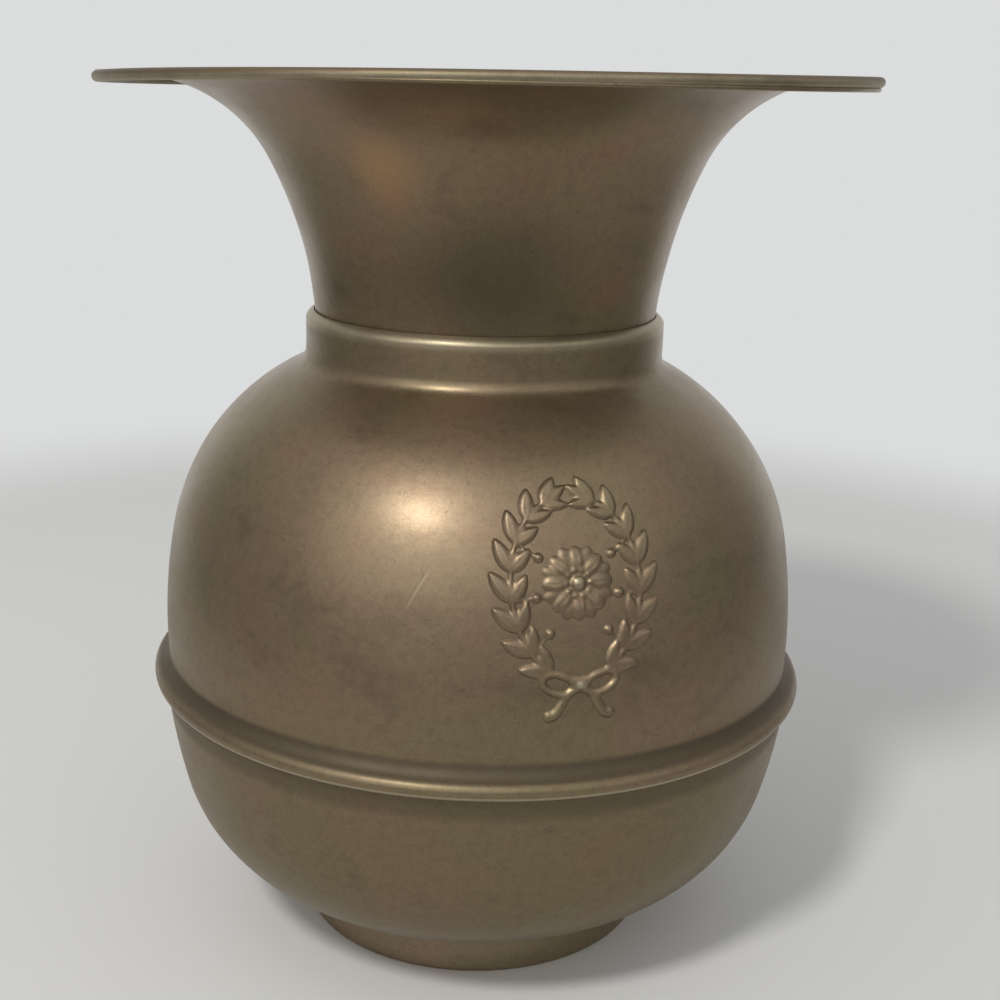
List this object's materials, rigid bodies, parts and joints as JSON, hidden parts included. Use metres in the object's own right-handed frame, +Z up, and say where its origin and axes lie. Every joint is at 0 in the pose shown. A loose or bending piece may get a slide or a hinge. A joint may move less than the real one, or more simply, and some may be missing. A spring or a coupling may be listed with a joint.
{
  "type": "spittoon",
  "caption": "Round sheet-brass spittoon with a rolled waist bead, an upright collar, a low foot ring and a wide flared funnel that lifts out of the collar.",
  "frame": {"origin": "centre of the foot's underside, on the axis, at the surface that the foot stands on", "axes": "+Z up along the axis of revolution; -Y is the front that the picture shows"},
  "size_m": [0.228, 0.228, 0.2662],
  "materials": {
    "aged_brass": "unpolished spun sheet with a brown patina, satin sheen",
    "solder": "dull grey soft solder",
    "cast_iron": "rough casting"
  },
  "bodies": {
    "vessel": {"foot_ring": "aged_brass", "base_plate": "aged_brass", "ballast": "cast_iron", "foot_solder": "solder", "lower_bowl": "aged_brass", "waist_solder": "solder", "upper_shell": "aged_brass"},
    "funnel": {"funnel": "aged_brass", "rim_wire": "aged_brass"}
  },
  "joints": [
    {"name": "funnel_lift", "type": "slide", "parent": "vessel", "child": "funnel", "axis": [0, 0, 1], "range_m": [0, 0.045]}
  ]
}
